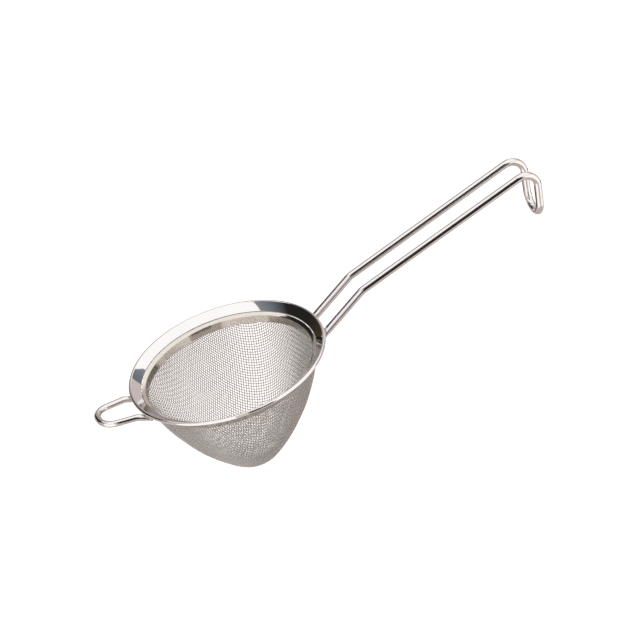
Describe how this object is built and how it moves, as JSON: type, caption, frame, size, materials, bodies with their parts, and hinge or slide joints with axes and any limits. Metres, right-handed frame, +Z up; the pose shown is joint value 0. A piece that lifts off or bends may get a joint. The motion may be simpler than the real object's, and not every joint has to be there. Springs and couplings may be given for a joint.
{
  "type": "conical tea strainer",
  "caption": "Conical fine-mesh tea strainer with a flanged rim, a wire handle bent into a hook and a wire rest loop opposite.",
  "frame": {"origin": "centre of the rim, in the plane of its rolled bead", "axes": "+X from the bowl out along the handle, -X to the rest loop, +Z up out of the bowl's mouth"},
  "size_m": [0.1965, 0.08, 0.0739],
  "materials": {
    "polished_sheet": "mirror-polished stainless sheet",
    "clamp_ring_steel": "drawn stainless sheet, half bright",
    "woven_wire": "plain-woven stainless wire cloth",
    "polished_wire": "polished stainless wire",
    "weld_metal": "weld metal with a heat tint"
  },
  "bodies": {
    "root": {"rim_flange": "polished_sheet", "mesh_clamp_ring": "clamp_ring_steel", "mesh_cone": "woven_wire", "handle_wire": "polished_wire", "rest_loop_wire": "polished_wire", "handle_weld_left": "weld_metal", "handle_weld_right": "weld_metal", "rest_loop_weld_left": "weld_metal", "rest_loop_weld_right": "weld_metal"}
  },
  "joints": []
}
